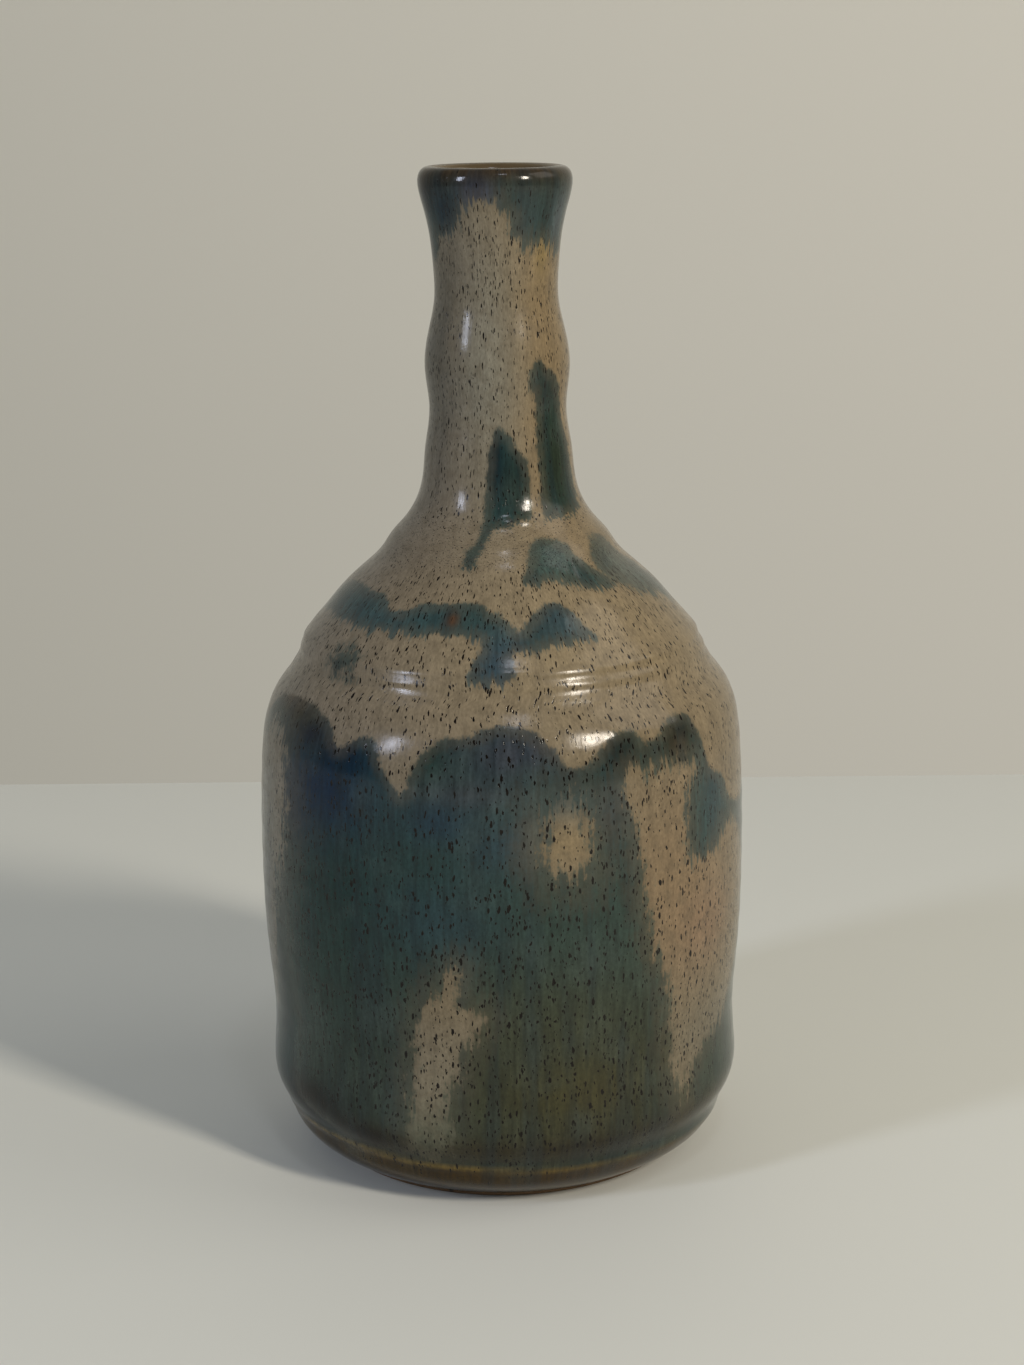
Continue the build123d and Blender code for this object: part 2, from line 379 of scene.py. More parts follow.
# Outlines of the trailed glaze, as (angle in degrees, height in mm). Angle 0 faces -Y, 90 faces +X.
# The two edges go right round the pot. Each trail and each window starts with its edge's softness in mm.
body_pour_edge = [
    (-180, 90.3), (-176, 90), (-170, 88), (-166, 84), (-163, 77), (-160, 74), (-157, 78), (-153, 85),
    (-148, 89), (-141, 91), (-134, 90.5), (-128, 87), (-124, 82), (-121, 79), (-118, 82), (-114, 86.5),
    (-108, 89), (-100, 89.8), (-92, 88.5), (-86, 86), (-82, 84.5), (-79, 86.5), (-75, 89.5), (-72, 91),
    (-65, 91.3), (-55, 91.5), (-50, 90.5), (-46, 89.5), (-44, 88), (-42, 86), (-40, 86), (-38, 87),
    (-35, 88.3), (-31, 88.3), (-29, 86.5), (-28, 84), (-25.5, 82), (-24, 80.5), (-23, 79.5), (-21.5, 81),
    (-21, 83), (-19, 86), (-16, 88.5), (-13, 89.5), (-8, 89.8), (-5, 90.5), (-2, 91.5), (1, 91.8),
    (5, 91), (9, 90.2), (11, 88.5), (13, 86.5), (14.5, 85), (16, 84.2), (19, 84), (21, 85),
    (23, 86.5), (25.5, 88.5), (28, 89.5), (31, 89.5), (33.5, 88.5), (35, 87), (37, 86.8), (39, 87),
    (41, 88), (43.5, 89.5), (47, 90.2), (50, 90), (52, 88.5), (53.5, 86), (54.5, 83), (55.5, 80.5),
    (57, 79), (59, 78.3), (61, 77.5), (63, 76), (64.5, 73.5), (67, 71), (71, 70), (76, 69),
    (81, 70.5), (86, 76), (92, 82), (98, 87), (104, 89.5), (110, 90), (116, 88), (120, 84),
    (123, 80.5), (126, 83), (130, 88), (136, 91), (144, 91.5), (150, 89.5), (154, 85), (157, 79),
    (160, 75), (163, 79), (167, 86), (172, 89.5), (178, 90.5),
]
rim_pour_edge = [
    (-180, 174), (-172, 177), (-162, 178), (-150, 177), (-142, 173), (-134, 168), (-126, 166), (-118, 169),
    (-110, 174), (-100, 175.5), (-90, 172), (-80, 169), (-72, 168), (-66, 169), (-62, 171), (-59, 173),
    (-55, 173.5), (-45, 173.5), (-40, 174), (-35, 174.5), (-32, 176), (-30, 177), (-25, 178), (-20, 179),
    (-12, 179.2), (-5, 179.4), (0, 179.3), (5, 178), (8, 177), (10, 176), (12, 174), (15, 173),
    (20, 172), (25, 171), (30, 170.5), (35, 171.5), (40, 171.7), (45, 171.5), (50, 171), (55, 170.5),
    (60, 170), (66, 169), (75, 170), (84, 173), (92, 175.5), (100, 174), (106, 170), (112, 166),
    (118, 165), (124, 169), (130, 174), (138, 177), (148, 178), (156, 175), (162, 170), (168, 168),
    (174, 170),
]
trails = {
    "shoulder belt": (0.8, [
        (-128, 106), (-120, 109), (-110, 110.5), (-100, 109.5), (-92, 108.5), (-80, 110), (-70, 110.5),
        (-60, 110.5), (-48, 110), (-44, 109), (-40, 108.3), (-35, 108.2), (-30, 109.5), (-25, 110),
        (-10, 110.3), (-6, 110), (-3, 109), (0, 108.5), (3, 107.3), (6.5, 105.7), (8, 106.5), (11, 108),
        (14, 109), (17, 110), (22, 110), (26, 108.5), (28, 107), (30, 105.5), (32, 104.3), (28, 103.8),
        (20, 103.8), (15, 103), (10, 102.5), (5.5, 102.8), (4, 102), (4, 100), (3.5, 98.5), (1, 97.8),
        (-4, 97.5), (-8, 98), (-8.7, 99.5), (-8, 101), (-6, 103), (-6, 104.5), (-10, 105), (-30, 105),
        (-50, 104.5), (-75, 105), (-88, 104.5), (-95, 102), (-103, 101), (-110, 103.5), (-128, 104),
    ]),
    "left smudge": (3.2, [
        (-54, 98), (-53, 101), (-48, 101.8), (-45, 101), (-44, 98), (-46, 96.5), (-52, 96.5),
    ]),
    "right shoulder leaf": (0.8, [
        (10, 113), (12, 115), (15, 116.5), (17, 118.5), (21, 119.7), (27, 120), (33, 119.5), (38, 118.5),
        (42, 116.5), (46, 115), (50, 113.5), (54, 111.5), (50, 111), (40, 111), (32, 112), (25, 113),
        (20, 113), (15, 112.5),
    ]),
    "right shoulder tail": (1.5, [
        (50, 113.5), (52, 116), (54, 117.5), (58, 119), (66, 119), (72, 118), (78, 116), (84, 113.5),
        (92, 110), (96, 106.5), (92, 105), (84, 106), (76, 107.5), (66, 108.5), (60, 110.5), (54, 112),
    ]),
    "neck arrowhead": (0.7, [
        (1, 139.5), (-3, 138.5), (-5, 137), (-8, 135), (-9, 131), (-9.5, 127), (-10, 124), (-11, 121),
        (-13, 119), (-18, 118), (-17, 116), (-15, 115), (-12, 115.5), (-10, 117.5), (-7, 119.8), (-3, 121.5),
        (3, 121.8), (8, 122.2), (15, 122.8), (22, 123), (23, 125.5), (25, 129.5), (24.5, 131.5), (23, 133.5),
        (18, 135), (13, 136.5), (7, 138),
    ]),
    "neck strip": (0.7, [
        (26, 149.5), (30, 150.5), (36, 151), (42, 150), (48, 149), (54, 148), (58, 146.5), (61, 145),
        (65, 142), (68, 139), (71, 136), (73, 133), (74, 130), (74, 126), (70, 123.5), (60, 122.8),
        (45, 122.5), (30, 122.3), (33, 125.5), (33, 128), (32, 131), (32, 134), (33, 137), (34, 140),
        (33, 143), (30, 145), (27, 146), (25, 148),
    ]),
    "back neck tongue": (0.8, [
        (150, 146), (158, 149), (168, 148), (175, 143), (178, 136), (176, 128), (170, 122), (160, 119),
        (152, 121), (147, 127), (145, 134), (146, 141),
    ]),
    "left neck tongue": (0.8, [
        (-120, 140), (-112, 143), (-104, 141), (-100, 134), (-101, 126), (-106, 120), (-113, 118),
        (-119, 122), (-122, 130),
    ]),
    "back right leaf": (0.9, [
        (110, 113), (118, 117), (128, 119), (138, 117), (146, 113), (150, 109), (148, 106), (138, 105),
        (126, 105.5), (116, 107), (110, 110),
    ]),
    "back left leaf": (0.9, [
        (-165, 112), (-158, 116), (-150, 115), (-144, 111), (-142, 106), (-147, 101), (-155, 100),
        (-162, 103), (-166, 108),
    ]),
    "back belt": (0.9, [(165, 109), (172, 110), (180, 109), (186, 106), (184, 103), (175, 102), (166, 104)]),
}

# Places in the body's pour where the tan base glaze stayed uncovered.
windows = {
    "right window": (1.6, [
        (29, 81), (33, 82), (40, 82.3), (46, 82), (50, 81.5), (51.5, 80), (49, 78.5), (47.5, 76.5),
        (46.5, 73), (46.3, 69), (46.8, 65.5), (48, 63.5), (52, 62.5), (57, 63), (61, 64.5), (65, 66.5),
        (70, 67), (76, 64), (80, 60), (82, 52), (81, 44), (78, 37), (73, 32), (66, 28.5), (60, 27),
        (55, 25), (50, 21), (47, 17), (45, 20), (43.5, 26), (42.5, 32), (41.5, 38), (40, 43), (37.5, 47.5),
        (36, 52), (34.5, 58), (33, 65), (31, 72), (29.5, 76), (28.5, 79),
    ]),
    "middle window": (2.6, [
        (10.5, 75.5), (13, 78), (16, 78.5), (18.7, 77.5), (19.7, 74), (19.5, 69.5), (19, 66.5), (16, 65.5),
        (12.5, 66), (10.5, 68.5), (9.8, 72),
    ]),
    "low window": (1.6, [
        (-10.5, 48.5), (-12, 46), (-14, 44), (-16.5, 42), (-19, 39), (-20, 36), (-20.5, 32), (-21.5, 28),
        (-22, 24), (-22.5, 20), (-23, 16), (-24, 12), (-18, 11), (-12, 12), (-12.3, 17), (-13, 21),
        (-12, 25), (-11, 28), (-10, 31), (-9, 33), (-7.5, 34.5), (-5.5, 37), (-4.5, 39), (-6, 40.5),
        (-10, 41), (-10.3, 43), (-10, 46),
    ]),
    "left window": (3.0, [
        (-70, 86), (-64, 84), (-61, 79), (-60, 72), (-61, 65), (-63, 60), (-66, 54), (-68, 45), (-70, 36),
        (-76, 29), (-86, 32), (-89, 45), (-90, 62), (-88, 76), (-82, 84),
    ]),
    "back right window": (1.6, [
        (100, 78), (106, 76), (109, 68), (107, 58), (103, 48), (99, 42), (96, 48), (94, 58), (93, 68),
        (95, 75),
    ]),
    "back middle window": (1.5, [
        (140, 70), (146, 73), (153, 70), (155, 62), (152, 55), (147, 52), (142, 56), (139, 63),
    ]),
    "back left window": (1.6, [
        (-150, 62), (-145, 66), (-138, 64), (-134, 55), (-135, 44), (-140, 34), (-146, 27), (-150, 34),
        (-152, 46), (-152, 55),
    ]),
    "left small window": (1.4, [
        (-112, 75), (-107, 78), (-102, 75), (-101, 68), (-104, 63), (-109, 62), (-113, 67),
    ]),
    "back low window": (1.8, [
        (170, 40), (175, 46), (182, 44), (186, 36), (184, 26), (178, 17), (172, 20), (169, 30),
    ]),
}

angle_at = np.arange(columns) * 360.0 / columns
angle_at = np.where(angle_at >= 180, angle_at - 360, angle_at)
run_at = np.concatenate([[0], np.cumsum(np.hypot(*np.diff(outside, axis=0).T))])
angles, runs = np.meshgrid(angle_at, run_at)
level_at = outside[:, 1]
levels = np.broadcast_to(level_at[:, None], angles.shape)


def up_the_wall(level):
    """A height as a distance along the outside from the glaze's lower edge, straight on past both ends."""
    level = np.asarray(level, float)
    past = np.clip(level - vase_height, 0, None) + np.clip(level - bare_height, None, 0)
    return np.interp(level, np.maximum.accumulate(level_at), run_at) + past


def reach(outline):
    """How far each point of the coat lies inside a closed outline, in mm on the wall; outside is negative.

    The distance is to the nearest of the outline's straight sides, on the wall laid flat at the outline's
    mean radius. The side of the outline comes from counting the sides that a line round the pot crosses.
    """
    corners = np.array(outline, float)
    girth = np.radians(np.interp(corners[:, 1].clip(0, vase_height), level_at, outside[:, 0]).mean())
    middle = corners[:, 0].mean()
    flat = np.stack([corners[:, 0] * girth, up_the_wall(corners[:, 1])], 1)
    x = (middle + (angles - middle + 180) % 360 - 180) * girth
    nearest = np.full(angles.shape, 1e9)
    crossings = np.zeros(angles.shape, bool)
    for (x0, y0), (x1, y1) in zip(flat, np.roll(flat, -1, axis=0)):
        along, up = x1 - x0, y1 - y0
        share = np.clip(((x - x0) * along + (runs - y0) * up) / (along**2 + up**2 + 1e-12), 0, 1)
        nearest = np.minimum(nearest, np.hypot(x - x0 - share * along, runs - y0 - share * up))
        if up:
            crossings ^= ((y0 > runs) != (y1 > runs)) & (x < x0 + (runs - y0) * along / up)
    return np.where(crossings, nearest, -nearest)


def all_round(edge, far):
    """An edge once round the pot, with a lap at each end, closed by a level far above or below it."""
    lapped = [(a - 360, z) for a, z in edge if a > 100] + edge + [(a + 360, z) for a, z in edge if a < -100]
    return lapped + [(lapped[-1][0], far), (lapped[0][0], far)]


below_the_foot, above_the_lip = -30, 215
body_pour = reach(all_round(body_pour_edge, below_the_foot)) / 0.8
cover = np.maximum(body_pour, reach(all_round(rim_pour_edge, above_the_lip)))
bared = np.min([-reach(outline) / softness for softness, outline in windows.values()], axis=0)
at_a_window = bared < cover
cover = np.minimum(cover, bared)
for softness, outline in trails.values():
    cover = np.maximum(cover, reach(outline) / softness)
cover = np.clip(cover, -4, 4)
rise_of_cover = np.gradient(cover, axis=0) / np.gradient(run_at)[:, None]
feathering = np.clip(np.where(at_a_window, 0.25 + np.abs(rise_of_cover), rise_of_cover) * 1.2, 0, 1)


def washed(base, touches):
    """A colour for every point of the coat: a base with soft touches of other colours laid over it in turn.

    A touch is (angle, height, half-width in degrees, half-height in mm, colour, strength).
    """
    colour = np.broadcast_to(paint(base), angles.shape + (4,)).copy()
    for at_angle, at_level, wide, high, tint, strength in touches:
        share = strength * patch(angles, levels, at_angle, at_level, wide, high)
        colour += share[..., None] * (np.array(paint(tint)) - colour)
    return colour


everywhere = 2000  # a half-width in degrees that takes in the whole way round
iron_brown, dark_iron = "#3a2b19", "#1f170e"
# The tan's tones, with painted light in them. The greyer and darker touches are painted cool shade: at the
# front and left of the neck, the left of the shoulder and body, the left window and the back left. The warmer
# touches are painted warm light: at the right of the neck and body and the back right. The rest are the
# glaze's own tones.
tan_tones_and_painted_light = [
    (-60, 110, 50, 60, "#7d7469", 0.6), (150, 100, 50, 40, "#87714f", 0.5),
    (-140, 60, 40, 30, "#75695a", 0.6), (45, 150, 40, 50, "#87714f", 0.5),
    (45, 60, 22, 20, "#876e50", 0.5), (55, 50, 12, 8, "#83654f", 0.4),
    (14, 71, 8, 5, "#8d7a57", 0.5), (14, 78.5, 9, 3.5, "#4b5350", 0.8), (-14, 42, 8, 6, "#817053", 0.4),
    (-14, 24, 12, 14, "#7a7362", 0.6), (-16, 15, 12, 7, "#545a4a", 0.8), (60, 28, 20, 8, "#676355", 0.6),
    (45, 170, 8, 4, "#8a7645", 0.6), (-8, 150, 26, 24, "#7f7e72", 0.7), (-70, 150, 36, 26, "#55564f", 0.7),
    (-76, 62, 12, 26, "#5d625b", 0.8), (-30, 112, 40, 10, "#6d6353", 0.6),
    (0, 95, everywhere, 3, "#81745e", 0.3), (12, 106, 55, 12, "#938467", 0.55),
]
# The pour's tones. The lighter grey-blue band at -8 degrees and 80 mm is a painted reflection of the cool
# window on the body's turn; the rest are the glaze's own tones.
pour_tones_and_painted_reflection = [
    (-45, 58, 34, 22, "#0f2f2c", 0.9), (-45, 78, 15, 8, "#00203c", 1.0), (-54, 74, 8, 7, "#042234", 0.9),
    (-37, 84, 8, 4, "#062134", 0.9), (-50, 87, 10, 3, "#20202a", 0.8), (-60, 89.5, 10, 2, "#2e2a1c", 0.8),
    (-67, 91.5, 12, 1.8, "#402d1a", 0.9), (-17, 86, 7, 4, "#16322a", 0.8), (3, 87, 14, 5, "#3a3d46", 0.9),
    (-8, 80, 12, 3, "#464b4e", 0.8), (-14, 75, 8, 4, "#1c3140", 0.8), (2, 71, 10, 6, "#2c3f49", 0.8),
    (6.5, 71, 3, 5, "#5f625a", 0.8), (26, 76, 6, 5, "#2e3a40", 0.8), (38, 60, 8, 14, "#484d3f", 0.8),
    (28, 86, 6, 4, "#1f241c", 0.9), (46, 86, 6, 4, "#2a2210", 1.0), (59, 74, 8, 8, "#33474a", 0.9),
    (-12, 56, 14, 8, "#243a44", 0.6), (16, 60, 16, 12, "#2c3c34", 0.8), (-48, 38, 22, 16, "#203630", 0.8),
    (-45, 22, 20, 10, "#313e35", 0.7), (8, 38, 34, 12, "#3b4131", 0.9), (20, 23, 44, 13, "#3c3a22", 1.0),
    (-36, 13, 6, 1.5, "#122841", 0.7), (0, 13.5, everywhere, 3.2, "#383018", 0.75),
    (-2, 133, 10, 8, "#0b2026", 0.9), (14, 128, 8, 6, "#1e2a20", 0.7), (42, 146, 16, 4.5, "#16231d", 0.9),
    (52, 133, 22, 11, "#262f20", 0.9), (-45, 107, 34, 4, "#384e50", 0.9), (0, 101, 10, 5, "#364751", 0.9),
    (22, 107, 12, 4, "#3c4d52", 0.9), (28, 116, 16, 4, "#44544e", 0.9), (68, 114, 14, 5, "#5d625a", 0.9),
    (128, 80, 16, 9, "#0c2036", 0.9), (-138, 84, 12, 8, "#2b2a1c", 0.9), (178, 84, 14, 8, "#33383f", 0.9),
    (-100, 84, 16, 7, "#0d1f33", 0.9), (90, 50, 22, 16, "#3a4233", 0.8), (-160, 45, 24, 20, "#3c4232", 0.8),
    (150, 28, 34, 14, "#3a3822", 0.9), (-115, 30, 24, 16, "#26332c", 0.8), (-110, 130, 14, 9, "#1c2c24", 0.9),
    (162, 134, 16, 12, "#132434", 0.9), (128, 112, 18, 5, "#46544e", 0.9), (-154, 108, 12, 6, "#33484c", 0.9),
    (-45, 177, 15, 5, "#02202f", 0.9), (-70, 180, 20, 5, "#0c1c28", 0.9), (-14, 181, 14, 3.5, "#40445c", 0.8),
    (25, 176, 14, 6, "#364444", 0.8), (45, 177, 4, 6, "#1d2825", 0.7), (62, 176, 10, 6, "#596165", 0.7),
]
broken_to_iron = [
    (0, 186, everywhere, 4.2, iron_brown, 1.0), (15, 13.4, 34, 1.0, "#221a0e", 0.5),
    (0, 1.0, everywhere, 1.2, dark_iron, 0.9), (0, 11.5, everywhere, 2.5, "#2f2a18", 0.5),
    (-16, 107.7, 2.4, 1.1, "#5a3c22", 0.95), (-54, 16.5, 16, 4.4, "#060301", 1.0),
    (-37, 13.4, 11, 2.2, "#060301", 1.0),
]

# The glaze draws back from the turned line, and most at the left.
foot_line = turned_line_level(np.radians(angles))
line_wear = 0.8 - 0.2 * np.clip(angles / 20, -1, 3)


def footed(colour):
    """The same colour, but iron brown under the foot's turned line and broken to ochre on it."""
    under = 0.48 * (1 - np.tanh((levels - foot_line) / 0.4))
    on_line = line_wear * np.exp(-(((levels - foot_line) / 0.5) ** 2))
    for share, tint in ((under, "#3a2906"), (on_line, "#74602e")):
        colour = colour + share[..., None] * (np.array(paint(tint)) - colour)
    return colour


def give(piece, name, values, kind="FLOAT"):
    """A named value at each point of the coat's outside, with zeros on the side that meets the clay."""
    width, held_as = {"FLOAT": (1, "value"), "FLOAT_COLOR": (4, "color"), "FLOAT_VECTOR": (3, "vector")}[kind]
    outer = np.reshape(values, (-1, width))
    filled = np.zeros((len(piece.data.vertices), width), np.float32)
    filled[: len(outer)] = outer
    layer = piece.data.attributes.new(name, kind, "POINT")
    layer.data.foreach_set(held_as, filled.ravel())


# The way the glaze ran, in mm: round a drum as wide as the body or, above the crease, as the neck, and along
# the wall, but swept a little sideways by the potter's rib in the belt under the shoulder's ring.
lay_radius = 22 + 23 / (1 + np.exp((levels - 119) / 1.5))
belt = run_at[np.searchsorted(level_at, 94.6)]
turn_at = np.radians(angles) - 0.010 * (runs - belt) * np.exp(-(((runs - belt) / 3.0) ** 2))
lay = np.stack([lay_radius * np.sin(turn_at), -lay_radius * np.cos(turn_at), runs], -1)

# Where the iron specks crowd or thin out, as (angle, height, half-width, half-height, strength).
pepper_touches = [
    (0, 94.2, everywhere, 1.6, 0.16), (-20, 112, 40, 2.0, 0.12), (17, 85, 6, 2.5, 0.3),
    (15, 13.5, 50, 1.8, 0.55), (-30, 103.5, 22, 1.5, 0.15), (0, 111, everywhere, 7, 0.16),
    (0, 45, everywhere, 35, 0.1), (0, 165, everywhere, 12, 0.04), (0, 5, everywhere, 5, -0.6),
    (0, 184, everywhere, 3, -0.5),
]
pepper = np.zeros(angles.shape)
for at_angle, at_level, wide, high, strength in pepper_touches:
    pepper += strength * patch(angles, levels, at_angle, at_level, wide, high)

give(coat, "pepper", pepper)
give(coat, "cover", cover)
give(coat, "feathering", feathering)
give(coat, "tan", footed(washed("#7a6f5a", tan_tones_and_painted_light + broken_to_iron)), "FLOAT_COLOR")
give(coat, "pour", footed(washed("#2b3f3c", pour_tones_and_painted_reflection + broken_to_iron)), "FLOAT_COLOR")
give(coat, "lay", lay, "FLOAT_VECTOR")


def runny_glaze():
    """Runny cobalt and rutile glaze over an iron-speckled tan: satin glass with a fine orange-peel skin.

    Streaks follow the way the glaze ran, iron specks stand in it like pepper and drag downwards, and
    the overlap's edge feathers where the pour came to rest.
    """
    material = bpy.data.materials.new("runny_cobalt_rutile_glaze")
    material.use_nodes = True
    tree = material.node_tree
    surface = tree.nodes["Principled BSDF"]
    cover_here, feathering_here, pepper_here = [
        add(tree, "ShaderNodeAttribute", out=2, attribute_name=name)
        for name in ("cover", "feathering", "pepper")
    ]
    tan, pour = [add(tree, "ShaderNodeAttribute", attribute_name=name) for name in ("tan", "pour")]
    lay_here = add(tree, "ShaderNodeAttribute", out=1, attribute_name="lay")
    smooth = {"interpolation_type": "SMOOTHSTEP"}

    def drawn_out(share):
        """The lay of the glaze in mm, shortened along the run so that whatever is laid in it is drawn out."""
        return add(tree, "ShaderNodeVectorMath", [(0, lay_here), (1, (1, 1, share))], operation="MULTIPLY")

    def weighted(total, *terms):
        """A total with (pattern - 0.5) * weight added to it for each term."""
        for pattern, weight in terms:
            around_zero = add(tree, "ShaderNodeMath", enumerate((pattern, 0.5)), operation="SUBTRACT")
            summed = enumerate((around_zero, weight, total))
            total = add(tree, "ShaderNodeMath", summed, operation="MULTIPLY_ADD")
        return total

    def veiled(colour, tint, share, pattern, low, high):
        """The colour with a tint laid over it, from none to a share as the pattern goes from low to high."""
        veil = add(tree, "ShaderNodeMapRange", enumerate((pattern, low, high, 0, share)), **smooth)
        layers = [("Factor", veil), ("A", colour), ("B", paint(tint))]
        return add(tree, "ShaderNodeMix", layers, out=2, data_type="RGBA")

    # The patterns, each with the size of its features in mm. The first three are drawn out along the run.
    place = add(tree, "ShaderNodeTexCoord", out="Object")
    in_mm = add(tree, "ShaderNodeVectorMath", [(0, place), (1, (1000, 1000, 1000))], operation="MULTIPLY")
    fine_streaks, broad_streaks, grain, mottle, clouds, skin = [
        add(tree, "ShaderNodeTexNoise", [("Vector", vector), ("Scale", 1 / size_mm), ("Detail", detail)])
        for vector, size_mm, detail in (
            (drawn_out(0.12), 0.8, 3), (drawn_out(0.1), 3.2, 3), (drawn_out(0.6), 0.45, 3),
            (in_mm, 2.2, 4), (in_mm, 9.0, 3), (in_mm, 0.8, 2),
        )
    ]

    # How far the pour covers the tan: most of it over a narrow edge, and the rest as it thickens inwards.
    feather = add(tree, "ShaderNodeMath", enumerate((feathering_here, 6.0, 1.0)), operation="MULTIPLY_ADD")
    edge = weighted(cover_here, (fine_streaks, feather), (mottle, 2.2), (clouds, 1.6), (grain, 2.4))
    thin = add(tree, "ShaderNodeMapRange", enumerate((edge, -0.7, 0.6, 0.0, 0.82)), **smooth)
    thick = add(tree, "ShaderNodeMapRange", enumerate((edge, 0.6, 3.9, 0.0, 0.18)), **smooth)
    covered = add(tree, "ShaderNodeMath", enumerate((thin, thick)), operation="ADD")

    # The colours: the tan breaks in patches, the pour in dark streaks and pale clouds with a darker rim.
    tan = veiled(tan, "#5d5342", 0.4, mottle, 0.4, 0.75)
    pour = veiled(pour, "#16242a", 0.45, broad_streaks, 0.42, 0.68)
    pour = veiled(pour, "#4c5852", 0.22, clouds, 0.45, 0.75)
    rim_starts = add(tree, "ShaderNodeMapRange", enumerate((edge, 0.2, 1.2, 0.0, 0.12)), **smooth)
    rim_ends = add(tree, "ShaderNodeMapRange", enumerate((edge, 1.6, 3.4, 1.0, 0.0)), **smooth)
    rim_of_pour = add(tree, "ShaderNodeMath", enumerate((rim_starts, rim_ends)), operation="MULTIPLY")
    rimmed = [("Factor", rim_of_pour), ("A", pour), ("B", paint("#0f1b22"))]
    pour = add(tree, "ShaderNodeMix", rimmed, out=2, data_type="RGBA")
    overlap = [("Factor", covered), ("A", tan), ("B", pour)]
    colour = add(tree, "ShaderNodeMix", overlap, out=2, data_type="RGBA")
    streakiness = add(tree, "ShaderNodeMath", enumerate((covered, 0.8, 0.5)), operation="MULTIPLY_ADD")
    depth = weighted(0.95, (fine_streaks, streakiness), (grain, 0.8), (broad_streaks, 0.4))
    deepened = [("Factor", 1.0), ("A", colour), ("B", depth)]
    colour = add(tree, "ShaderNodeMix", deepened, out=2, data_type="RGBA", blend_type="MULTIPLY")

    # The iron specks: dots in some of the cells of two shaken grids, of 0.95 and 0.6 mm, drawn out downwards.
    short_run = drawn_out(0.4)
    shake = add(tree, "ShaderNodeTexNoise", [("Vector", short_run), ("Scale", 1.8), ("Detail", 2)], out=1)
    shaken_by = [(0, shake), (1, (0.7, 0.7, 0.6)), (2, short_run)]
    shaken = add(tree, "ShaderNodeVectorMath", shaken_by, operation="MULTIPLY_ADD")
    crowding = weighted(pepper_here, (clouds, 1.3), (fine_streaks, 0.9))
    pits = 0.0
    for spacing, rarity, largest in ((0.95, 0.37, 0.30), (0.6, 0.32, 0.34)):
        distance = add(tree, "ShaderNodeTexVoronoi", [("Vector", shaken), ("Scale", 1 / spacing)])
        cell_colour = distance.node.outputs["Color"]
        lots = add(tree, "ShaderNodeSeparateColor", [(0, cell_colour)]).node.outputs
        chance = add(tree, "ShaderNodeMath", enumerate((lots[0], crowding)), operation="ADD")
        present = add(tree, "ShaderNodeMapRange", enumerate((chance, rarity, rarity + 0.04)), **smooth)
        sizes = (lots[1], 0.6 * largest, 0.4 * largest)
        size = add(tree, "ShaderNodeMath", enumerate(sizes), operation="MULTIPLY_ADD")
        inside = add(tree, "ShaderNodeMath", enumerate((size, distance)), operation="SUBTRACT")
        dot = add(tree, "ShaderNodeMapRange", enumerate((inside, -0.02, 0.06)), **smooth)
        speck = add(tree, "ShaderNodeMath", enumerate((dot, present)), operation="MULTIPLY")
        specked = [("Factor", speck), ("A", colour), ("B", paint("#0e0904"))]
        colour = add(tree, "ShaderNodeMix", specked, out=2, data_type="RGBA")
        pits = add(tree, "ShaderNodeMath", enumerate((speck, pits)), operation="ADD")

    # The skin: orange peel and fine streaks, pitted at the specks. The pour is glossier than the tan.
    pitted = add(tree, "ShaderNodeMath", enumerate((pits, -0.4)), operation="MULTIPLY")
    height = weighted(pitted, (skin, 0.5), (fine_streaks, 0.5))
    relief = add(tree, "ShaderNodeBump", [("Height", height), ("Distance", 0.05 * mm), ("Strength", 0.6)])
    satin = add(tree, "ShaderNodeMapRange", enumerate((mottle, 0.3, 0.7, 0.15, 0.23)), **smooth)
    gloss = add(tree, "ShaderNodeMath", enumerate((covered, -0.06, satin)), operation="MULTIPLY_ADD")
    tree.links.new(colour, surface.inputs["Base Color"])
    tree.links.new(gloss, surface.inputs["Roughness"])
    tree.links.new(relief, surface.inputs["Normal"])
    surface.inputs["IOR"].default_value = 1.42
    surface.inputs["Specular IOR Level"].default_value = 0.34
    return material


coat.data.materials.append(runny_glaze())

# ---------------------------------------------------------------------------------------------
# The room. A pale table top with a plain wall some way behind it, a cool window to the left, a
# warm one to the right, and soft fills from above and from the side.


def slab(name, low, high):
    """A plain box between two corners, in metres."""
    corners = [(x, y, z) for x in (low[0], high[0]) for y in (low[1], high[1]) for z in (low[2], high[2])]
    faces = [(0, 1, 3, 2), (4, 6, 7, 5), (0, 4, 5, 1), (2, 3, 7, 6), (0, 2, 6, 4), (1, 5, 7, 3)]
    mesh = bpy.data.meshes.new(name)
    mesh.from_pydata(corners, [], faces)
    piece = bpy.data.objects.new(name, mesh)
    bpy.context.scene.collection.objects.link(piece)
    piece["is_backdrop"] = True
    return piece


# Matt white-painted board.
table_paint = bpy.data.materials.new("pale_painted_board")
table_paint.use_nodes = True
table_paint.node_tree.nodes["Principled BSDF"].inputs["Base Color"].default_value = paint("#d6d8d2")
table_paint.node_tree.nodes["Principled BSDF"].inputs["Roughness"].default_value = 0.6
slab("table_top", (-1.8, -1.3, -0.03), (1.8, 0.243, 0.0)).data.materials.append(table_paint)

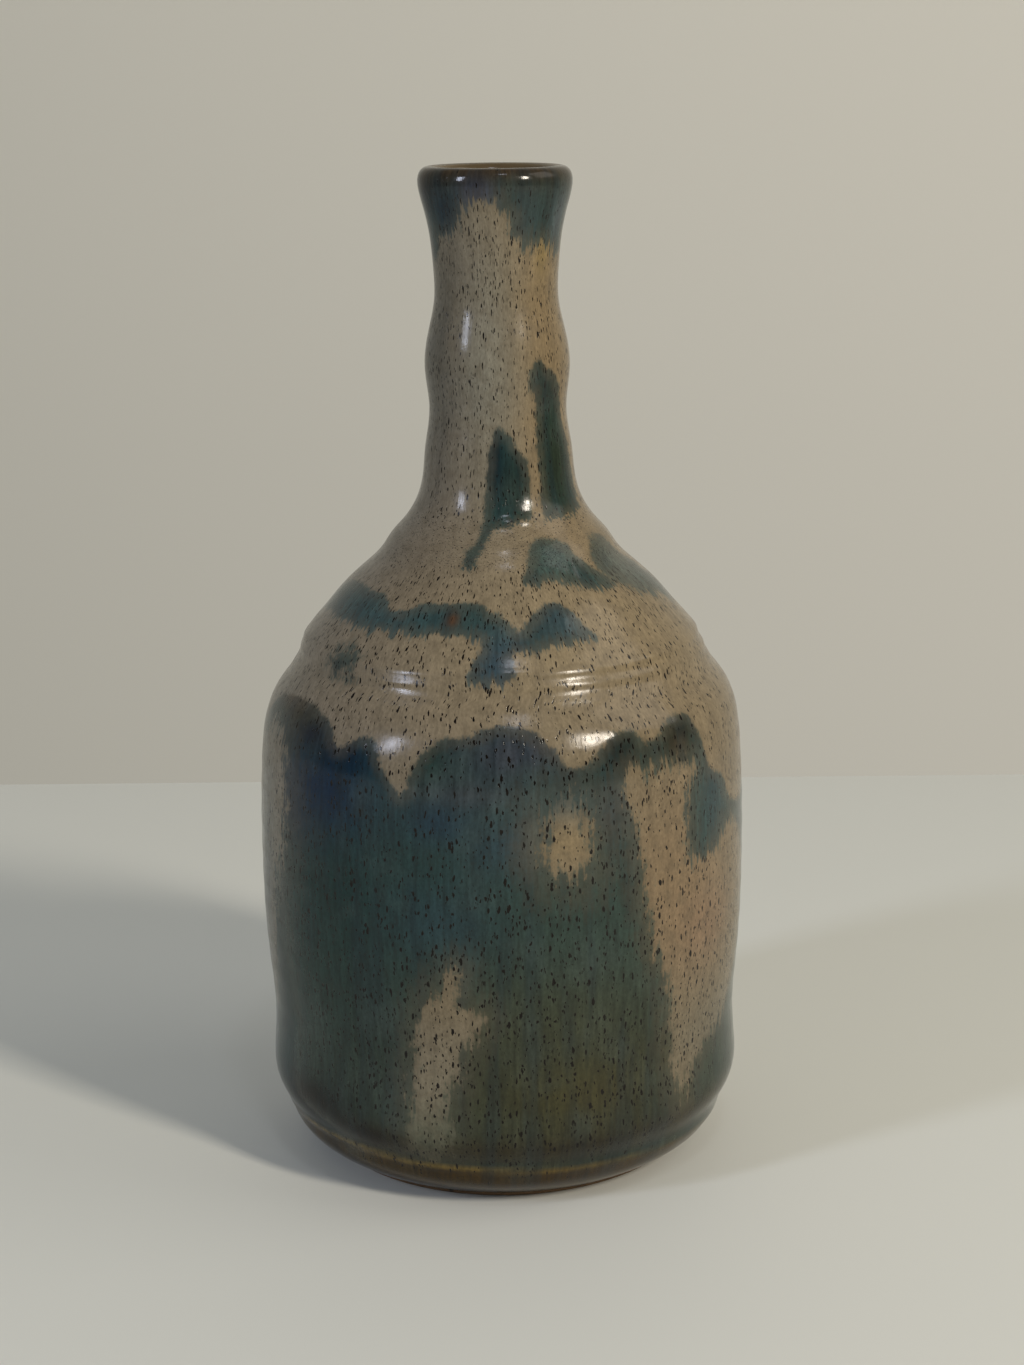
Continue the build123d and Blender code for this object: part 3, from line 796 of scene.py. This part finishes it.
# Matt distemper on a plastered wall. It glows a little, more to the right: painted light that stands in for
# the room's other light.
wall_paint = bpy.data.materials.new("pale_plaster_with_painted_light")
wall_paint.use_nodes = True
wall_tree = wall_paint.node_tree
wall_surface = wall_tree.nodes["Principled BSDF"]
wall_surface.inputs["Base Color"].default_value = paint("#bbb8ad")
wall_surface.inputs["Roughness"].default_value = 0.8
wall_surface.inputs["Emission Strength"].default_value = 0.4
on_wall = add(wall_tree, "ShaderNodeTexCoord", out="Object")
across = add(wall_tree, "ShaderNodeSeparateXYZ", [(0, on_wall)])
rightward = add(wall_tree, "ShaderNodeMapRange", [("Value", across), ("From Min", -0.3), ("From Max", 0.3)])
dim_and_bright_painted_light = [("Factor", rightward), ("A", paint("#a3a196")), ("B", paint("#c9c5b9"))]
painted_wall_light = add(wall_tree, "ShaderNodeMix", dim_and_bright_painted_light, out=2, data_type="RGBA")
wall_tree.links.new(painted_wall_light, wall_surface.inputs["Emission Color"])
slab("wall", (-2.6, 0.85, -1.2), (2.6, 0.87, 2.0)).data.materials.append(wall_paint)


def lamp(name, azimuth, elevation, distance, wide, high, watts, colour):
    """A soft area light that looks at the vase's middle. Azimuth 0 is in front and 90 is to the right."""
    data = bpy.data.lights.new(name, "AREA")
    data.shape = "RECTANGLE"
    data.size, data.size_y, data.energy, data.color = wide, high, watts, paint(colour)[:3]
    light = bpy.data.objects.new(name, data)
    a, e = math.radians(azimuth), math.radians(elevation)
    middle = np.array([0, 0, 0.09])
    away = np.array([math.sin(a) * math.cos(e), -math.cos(a) * math.cos(e), math.sin(e)])
    light.location = middle + away * distance
    light.rotation_euler = (math.radians(90) - e, 0, a)
    bpy.context.scene.collection.objects.link(light)


lamp("cool window", -56, 25, 1.3, 0.13, 0.42, 4.8, "#e2eaff")
lamp("warm window", 45, 31, 1.3, 0.13, 0.30, 10.5, "#fff4e4")
lamp("ceiling", 12, 60, 1.2, 0.12, 0.12, 0.6, "#eef2ff")
lamp("side wall", 84, 40, 0.9, 0.5, 0.5, 1.3, "#fff9f0")

sky = bpy.data.worlds.new("soft room light")
sky.use_nodes = True
sky.node_tree.nodes["Background"].inputs["Color"].default_value = paint("#d6d8d6")
sky.node_tree.nodes["Background"].inputs["Strength"].default_value = 0.27
bpy.context.scene.world = sky
bpy.context.scene.view_settings.view_transform = "Standard"

# The camera, a little above the rim's height, looking down on the shoulder, with a slight roll.
focal_length, sensor_long_side = 67.6, 36.0
look_down, roll = math.radians(13.91), math.radians(-0.58)
eye = bpy.data.cameras.new("eye")
eye.lens, eye.sensor_width = focal_length, sensor_long_side
eye.clip_start, eye.clip_end = 0.01, 20
camera = bpy.data.objects.new("camera", eye)
camera.matrix_world = (
    Matrix.Translation((0.0021, -0.4701, 0.2055))
    @ Matrix.Rotation(math.radians(90) - look_down, 4, "X")
    @ Matrix.Rotation(roll, 4, "Z")
)
bpy.context.scene.collection.objects.link(camera)
bpy.context.scene.camera = camera

low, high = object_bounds()
